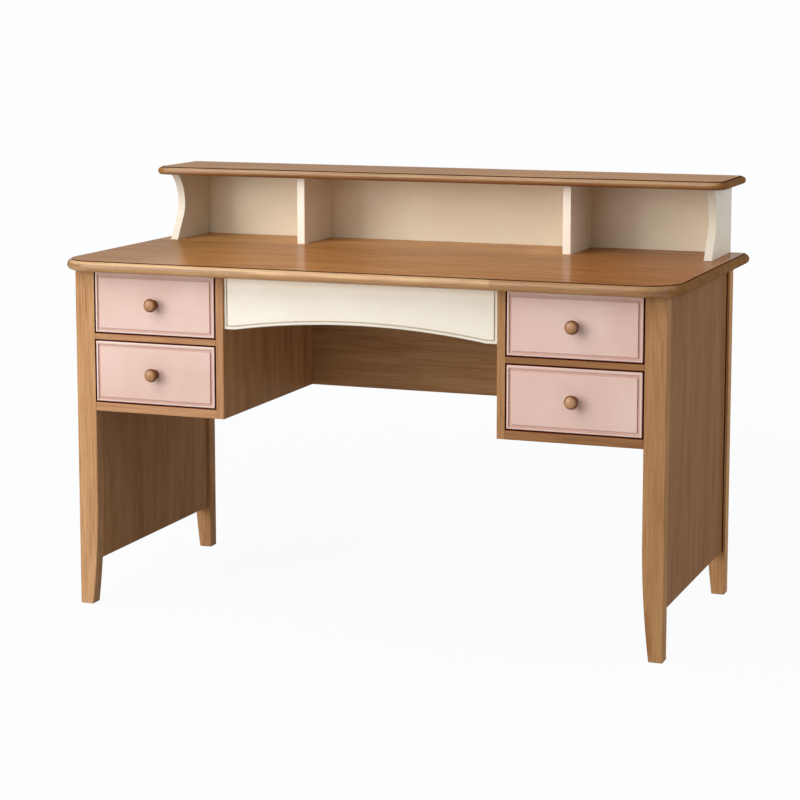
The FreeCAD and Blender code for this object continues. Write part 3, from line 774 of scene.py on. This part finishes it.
# Colours of the painted shade in the apron's groove and on its edges.
APRON_GROOVE_SHADE = "E4DCD0"
APRON_EDGE_SHADE = "B8A486"
brackets = ["left_hutch_bracket", "right_hutch_bracket"]
dividers = ["left_hutch_divider", "right_hutch_divider"]
# The apron gets painted light along its top and painted shade in its groove and on its edges.
dress(["apron"], sprayed_enamel(
    "cream_enamel_apron", "X", *CREAM,
    extras=[light_at_the_top, groove_shade_and_bead_highlight("apron", APRON_GROOVE_SHADE, APRON_EDGE_SHADE)]))
dress(["hutch_back_panel"], sprayed_enamel("cream_enamel_lengthwise", "X", *HUTCH_CREAM))
dress(brackets, sprayed_enamel("cream_enamel_brackets", "Y", *SHADED_BRACKET_CREAM))
dress(dividers, sprayed_enamel("cream_enamel_dividers", "Y", *LIT_DIVIDER_CREAM,
                               extras=[lit_edge(dividers[0])]))
print("cream pieces:", 2 + len(brackets) + len(dividers))

# %% Paint the drawer fronts
PINK = {"left": ("D5B9AE", "CEAEA2"), "right": ("DBBEB3", "D4B3A7")}
# Painted shade in the fronts' grooves and on their edges, and a painted highlight on their beads.
PINK_GROOVE_SHADE = "F4ECE8"
FRONT_EDGE_SHADE = "551C10"
BEAD_HIGHLIGHT = {"left": (1.10, 1.20, 1.24, 1.0), "right": (1.03, 1.06, 1.08, 1.0)}
drawers = [side + "_" + level for side in ("left", "right") for level in ("upper", "lower")]
for drawer in drawers:
    side = drawer.split("_")[0]
    front = drawer + "_drawer_front"
    painted_light = groove_shade_and_bead_highlight(front, PINK_GROOVE_SHADE, FRONT_EDGE_SHADE, BEAD_HIGHLIGHT[side])
    dress([front], sprayed_enamel("pink_enamel_" + drawer, "X", *PINK[side], extras=[painted_light]))
print("pink drawer fronts:", len(drawers))

# %% [markdown]
# ## Knobs
# The knobs are turned from the same hardwood as the frame. A turner holds the
# grain along the knob's axis, so its face shows end grain: rings round the
# middle. A picture of end grain could be wrapped on each face, but the solid
# grain gives it by itself when the pith runs through the knob. Shade is painted
# on the rim and behind it. It is a mask on the distance from the knob's axis,
# and one on the depth.

# %% Turned knobs
KNOB_RING_SPACING = 2.6 * MM   # a slow-grown blank, which holds a clean edge on the lathe
KNOB_VEINS = 0.34
TURNED = ("7C5433", "A5784F", "C1946A")
PITH_OF_A_BLANK = Vector((1.5 * MM, 0, -1.0 * MM))    # from the knob's middle
KNOB_WIDEST = 9.5 * MM         # behind the front of the knob
# Painted shade on the rim and the neck of each knob.
RIM_SHADE = "A8805E"
RIM_START = 0.5                # of the knob's radius
NECK_SHADE = "B08A70"


def knob_shade(knob):
    """Painted shade on the rim of a knob and behind it."""
    low, high = (Vector(corner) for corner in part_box(knob))
    axis_x, _, axis_z = (low + high) / 2
    radius = (high[0] - low[0]) / 2

    def painted_light(tree, surface):
        place = add(tree, "ShaderNodeTexCoord").outputs["Object"]
        flat = add(tree, "ShaderNodeVectorMath", {"operation": "MULTIPLY"}, _0=place,
                   _1=(1, 0, 1)).outputs[0]
        distance = add(tree, "ShaderNodeVectorMath", {"operation": "DISTANCE"}, _0=flat,
                       _1=(axis_x, 0, axis_z)).outputs["Value"]
        rim = add(tree, "ShaderNodeMapRange", {"interpolation_type": "SMOOTHSTEP"},
                  Value=distance, From_Min=RIM_START * radius, From_Max=radius).outputs[0]
        rimmed = blend(tree, rim, surface, colour(RIM_SHADE), "MULTIPLY")
        neck = within(tree, "Y", low[1] + KNOB_WIDEST, high[1] + MM)
        return blend(tree, neck, rimmed, colour(NECK_SHADE), "MULTIPLY")
    return painted_light


for number, drawer in enumerate(drawers):
    knob = drawer + "_knob"
    low, high = (Vector(corner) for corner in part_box(knob))
    grain_shift = number * 1.3 + 0.2    # each knob comes from another blank
    dress([knob], lacquered_hardwood(
        "turned_" + knob, "Y", (low + high) / 2 + PITH_OF_A_BLANK, grain_shift, TURNED,
        spacing=KNOB_RING_SPACING, veins=KNOB_VEINS, coat=0.6, coat_roughness=0.22,
        extras=[knob_shade(knob)]))
print("knobs dressed:", len(drawers))

# %% [markdown]
# ## Drawer boxes and slides
# The drawer boxes and the boards that carry the outer slides are birch, pale and
# even, under clear varnish. They show only when a drawer is out, so boards whose
# grain runs the same way share a material. A material for each board would be
# truer, but inside a drawer the difference wouldn't be seen.

# %% Birch drawer boxes
BIRCH = ("C2A274", "D9BE92", "E6D0A8")
BIRCH_VEINS = 0.12
BIRCH_PITH = Vector((0, 0, 100 * MM))    # in the middle of the desk, below all the boxes
box_parts = {"Y": ["_drawer_left_side", "_drawer_right_side", "_drawer_bottom"],
             "X": ["_drawer_back"]}
runner_boards = ["left_runner_board", "right_runner_board"]
for axis, parts in box_parts.items():
    birch = lacquered_hardwood("varnished_birch_along_" + axis.lower(), axis, BIRCH_PITH, 0.6,
                               BIRCH, veins=BIRCH_VEINS)
    dress([drawer + part for drawer in drawers for part in parts], birch)
    if axis == "Y":
        dress(runner_boards, birch)
print("birch boards dressed:",
      len(drawers) * sum(len(parts) for parts in box_parts.values()) + len(runner_boards))

# %% [markdown]
# The slides are pressed from steel strip and plated with zinc. The eye knows it
# by a cool grey, fine lines that rolling left along the strip, and a cloudy
# bloom. A plain smooth metal would pass for chrome, so the lines drive the gloss
# and the relief here, and the bloom drives the colour.

# %% Zinc-plated slides
ROLLED_WIDTH = 0.9 * MM      # lines that the rolling mill leaves in the steel
ROLLED_STRETCH = 60
BLOOM_WIDTH = 14 * MM        # dull patches of the zinc
ZINC_DULL = "A9ADB2"
ZINC_BRIGHT = "C6CACD"


def zinc_plate(name):
    """Pressed steel with bright zinc: rolled lines along Y and a faint bloom."""
    material, tree, output = new_material(name)
    rolled = add(tree, "ShaderNodeTexNoise", {},
                 Vector=along_grain(tree, "Y", ROLLED_WIDTH, ROLLED_STRETCH, 0.3),
                 Scale=1.0, Detail=2.0)
    bloom = add(tree, "ShaderNodeTexNoise", {},
                Vector=add(tree, "ShaderNodeTexCoord").outputs["Object"],
                Scale=1 / BLOOM_WIDTH, Detail=3.0)
    metal = set_ramp(add(tree, "ShaderNodeValToRGB", {}, Fac=bloom.outputs["Fac"]),
                     [(0.35, colour(ZINC_DULL)), (0.65, colour(ZINC_BRIGHT))])
    gloss = add(tree, "ShaderNodeMath", {"operation": "MULTIPLY_ADD"},
                _0=rolled.outputs["Fac"], _1=0.20, _2=0.22)
    bump = add(tree, "ShaderNodeBump", {}, Height=rolled.outputs["Fac"], Strength=0.15,
               Distance=0.03 * MM)
    shader = add(tree, "ShaderNodeBsdfPrincipled", {}, Base_Color=metal.outputs["Color"],
                 Metallic=1.0, Roughness=gloss.outputs[0], Normal=bump.outputs[0])
    tree.links.new(shader.outputs[0], output.inputs["Surface"])
    return material


members = ["_cabinet_slides", "_middle_slides", "_drawer_slides"]
dress([drawer + member for drawer in drawers for member in members], zinc_plate("zinc_plate"))
print("slide members dressed:", len(drawers) * len(members))

# %% [markdown]
# ## Floor and daylight
# The desk stands on a plain pale floor in a studio. The camera should see the
# floor as almost white with only a breath of shadow, yet the wood must not be
# flooded with light from below. The Light Path node tells the two apart: to the
# camera and to reflections the floor is mostly a white glow, and to all other
# light it is a plain matt surface. Far from the desk the glow takes over, so the
# floor and the air behind it meet without a line.

# %% Rays that see the background
STUDIO_WHITE = "FDFEFF"      # what those rays see, on the floor and in the air


def seen_rays(tree):
    """1 for rays from the camera, a reflection or clear glass, and 0 for the rest."""
    light_path = add(tree, "ShaderNodeLightPath")
    seen = add(tree, "ShaderNodeMath", {"operation": "MAXIMUM"},
               _0=light_path.outputs["Is Camera Ray"], _1=light_path.outputs["Is Glossy Ray"])
    return add(tree, "ShaderNodeMath", {"operation": "MAXIMUM"}, _0=seen.outputs[0],
               _1=light_path.outputs["Is Transmission Ray"]).outputs[0]


print("background:", STUDIO_WHITE)

# %% The floor
FLOOR_REACH = 14.0
FLOOR_LIT = "BCBCBC"         # the paint that lights the desk from below
FLOOR_SEEN = "F0F0F0"        # and the paint that the camera sees under the glow
GLOW_NEAR = 0.95             # the glow's share near the desk
SHADOW_REACH = (1.3, 3.6)    # where the shadow starts to fade, and where it has gone


def make_floor():
    mesh = bpy.data.meshes.new("studio_floor")
    corners = [(x * FLOOR_REACH, y * FLOOR_REACH, 0)
               for x, y in ((-1, -1), (1, -1), (1, 1), (-1, 1))]
    mesh.from_pydata(corners, [], [(0, 1, 2, 3)])
    floor = bpy.data.objects.new("studio_floor", mesh)
    bpy.context.scene.collection.objects.link(floor)
    material, tree, output = new_material("studio_floor_paint")
    seen = seen_rays(tree)
    paint = blend(tree, seen, colour(FLOOR_LIT), colour(FLOOR_SEEN))
    matt = add(tree, "ShaderNodeBsdfDiffuse", {}, Color=paint)
    glow = add(tree, "ShaderNodeEmission", {}, Color=colour(STUDIO_WHITE), Strength=1.0)
    distance = add(tree, "ShaderNodeVectorMath", {"operation": "LENGTH"},
                   _0=add(tree, "ShaderNodeTexCoord").outputs["Object"])
    share = add(tree, "ShaderNodeMapRange", {}, Value=distance.outputs["Value"],
                From_Min=SHADOW_REACH[0], From_Max=SHADOW_REACH[1], To_Min=GLOW_NEAR,
                To_Max=1.0)
    seen_share = add(tree, "ShaderNodeMath", {"operation": "MULTIPLY"}, _0=seen,
                     _1=share.outputs[0])
    mixed = add(tree, "ShaderNodeMixShader", {}, Fac=seen_share.outputs[0],
                _1=matt.outputs[0], _2=glow.outputs[0])
    tree.links.new(mixed.outputs[0], output.inputs["Surface"])
    mesh.materials.append(material)
    return floor


floor = make_floor()
print("floor:", floor.name)

# %% The air round the desk
AMBIENT = 0.33
AMBIENT_COLOUR = "FFFAF4"    # a little warm


def make_world():
    """Soft ambient light that looks white to the camera."""
    world = bpy.data.worlds.new("studio_air")
    bpy.context.scene.world = world
    world.use_nodes = True
    tree = world.node_tree
    tree.nodes.clear()
    output = tree.nodes.new("ShaderNodeOutputWorld")
    ambient = add(tree, "ShaderNodeBackground", {}, Color=colour(AMBIENT_COLOUR),
                  Strength=AMBIENT)
    white = add(tree, "ShaderNodeBackground", {}, Color=colour(STUDIO_WHITE), Strength=1.0)
    mixed = add(tree, "ShaderNodeMixShader", {}, Fac=seen_rays(tree),
                _1=ambient.outputs[0], _2=white.outputs[0])
    tree.links.new(mixed.outputs[0], output.inputs["Surface"])


make_world()
print("ambient light:", AMBIENT)

# %% [markdown]
# ## Lamps
# A large soft window lamp stands on the left in front, and a second, lower one
# between it and the camera reaches under the tops. A softbox hangs overhead in
# front: the round noses of the tops mirror it as a soft bright line. A weak lamp
# on the right keeps that side open, and a weak one behind lights the back. Large
# lamps are used because small ones would throw hard shadows under the desktop.

# %% Place the lamps
def soft_lamp(name, position, target, size, power):
    """A rectangular area lamp that faces a point. size is in metres, power in watts."""
    data = bpy.data.lights.new(name, "AREA")
    data.shape = "RECTANGLE"
    data.size, data.size_y = size
    data.energy = power
    lamp = bpy.data.objects.new(name, data)
    lamp.location = position
    lamp.rotation_euler = (Vector(target) - Vector(position)).to_track_quat("-Z", "Y").to_euler()
    bpy.context.scene.collection.objects.link(lamp)
    return lamp


LAMP_TARGET = (0, 0, 0.5)
lamps = [
    soft_lamp("window_lamp", (-3.3, -3.6, 1.9), LAMP_TARGET, (2.6, 2.6), 126),
    soft_lamp("front_lamp", (-1.4, -4.6, 1.2), LAMP_TARGET, (3.0, 3.0), 58),
    soft_lamp("softbox", (-1.2, -1.9, 3.0), LAMP_TARGET, (2.4, 1.8), 50),
    soft_lamp("side_lamp", (3.4, 0.3, 1.5), LAMP_TARGET, (2.4, 2.4), 33),
    soft_lamp("back_lamp", (-2.0, 3.4, 3.0), LAMP_TARGET, (2.4, 2.4), 20),
]
print("watts of the lamps:", [round(lamp.data.energy) for lamp in lamps])

# %% [markdown]
# ## Camera
# The camera stands to the right of the desk, a little above its top, with a long
# lens. It is nearly level and the film is shifted down instead, as in a view
# camera, so that the legs stay almost parallel. Tilting it down would be simpler,
# but then the legs would lean towards each other.

# %% Place the camera
CAMERA_PLACE = (1.6815, -4.4802, 1.2897)
CAMERA_TURN = math.radians(20.73)
CAMERA_DIP = math.radians(7.52)
FOCAL_PIXELS = 2221.0
IMAGE_WIDTH = 800
FILM_WIDTH = 36.0
SHIFT_PIXELS = 97

camera_data = bpy.data.cameras.new("camera")
camera_data.sensor_width = FILM_WIDTH
camera_data.lens = FOCAL_PIXELS / IMAGE_WIDTH * FILM_WIDTH
camera_data.shift_y = -SHIFT_PIXELS / IMAGE_WIDTH
camera = bpy.data.objects.new("camera", camera_data)
camera.location = CAMERA_PLACE
camera.rotation_euler = (math.pi / 2 - CAMERA_DIP, 0, CAMERA_TURN)
bpy.context.scene.collection.objects.link(camera)
bpy.context.scene.camera = camera
bpy.context.scene.view_settings.view_transform = "Standard"
print("lens:", round(camera_data.lens, 1), "mm")
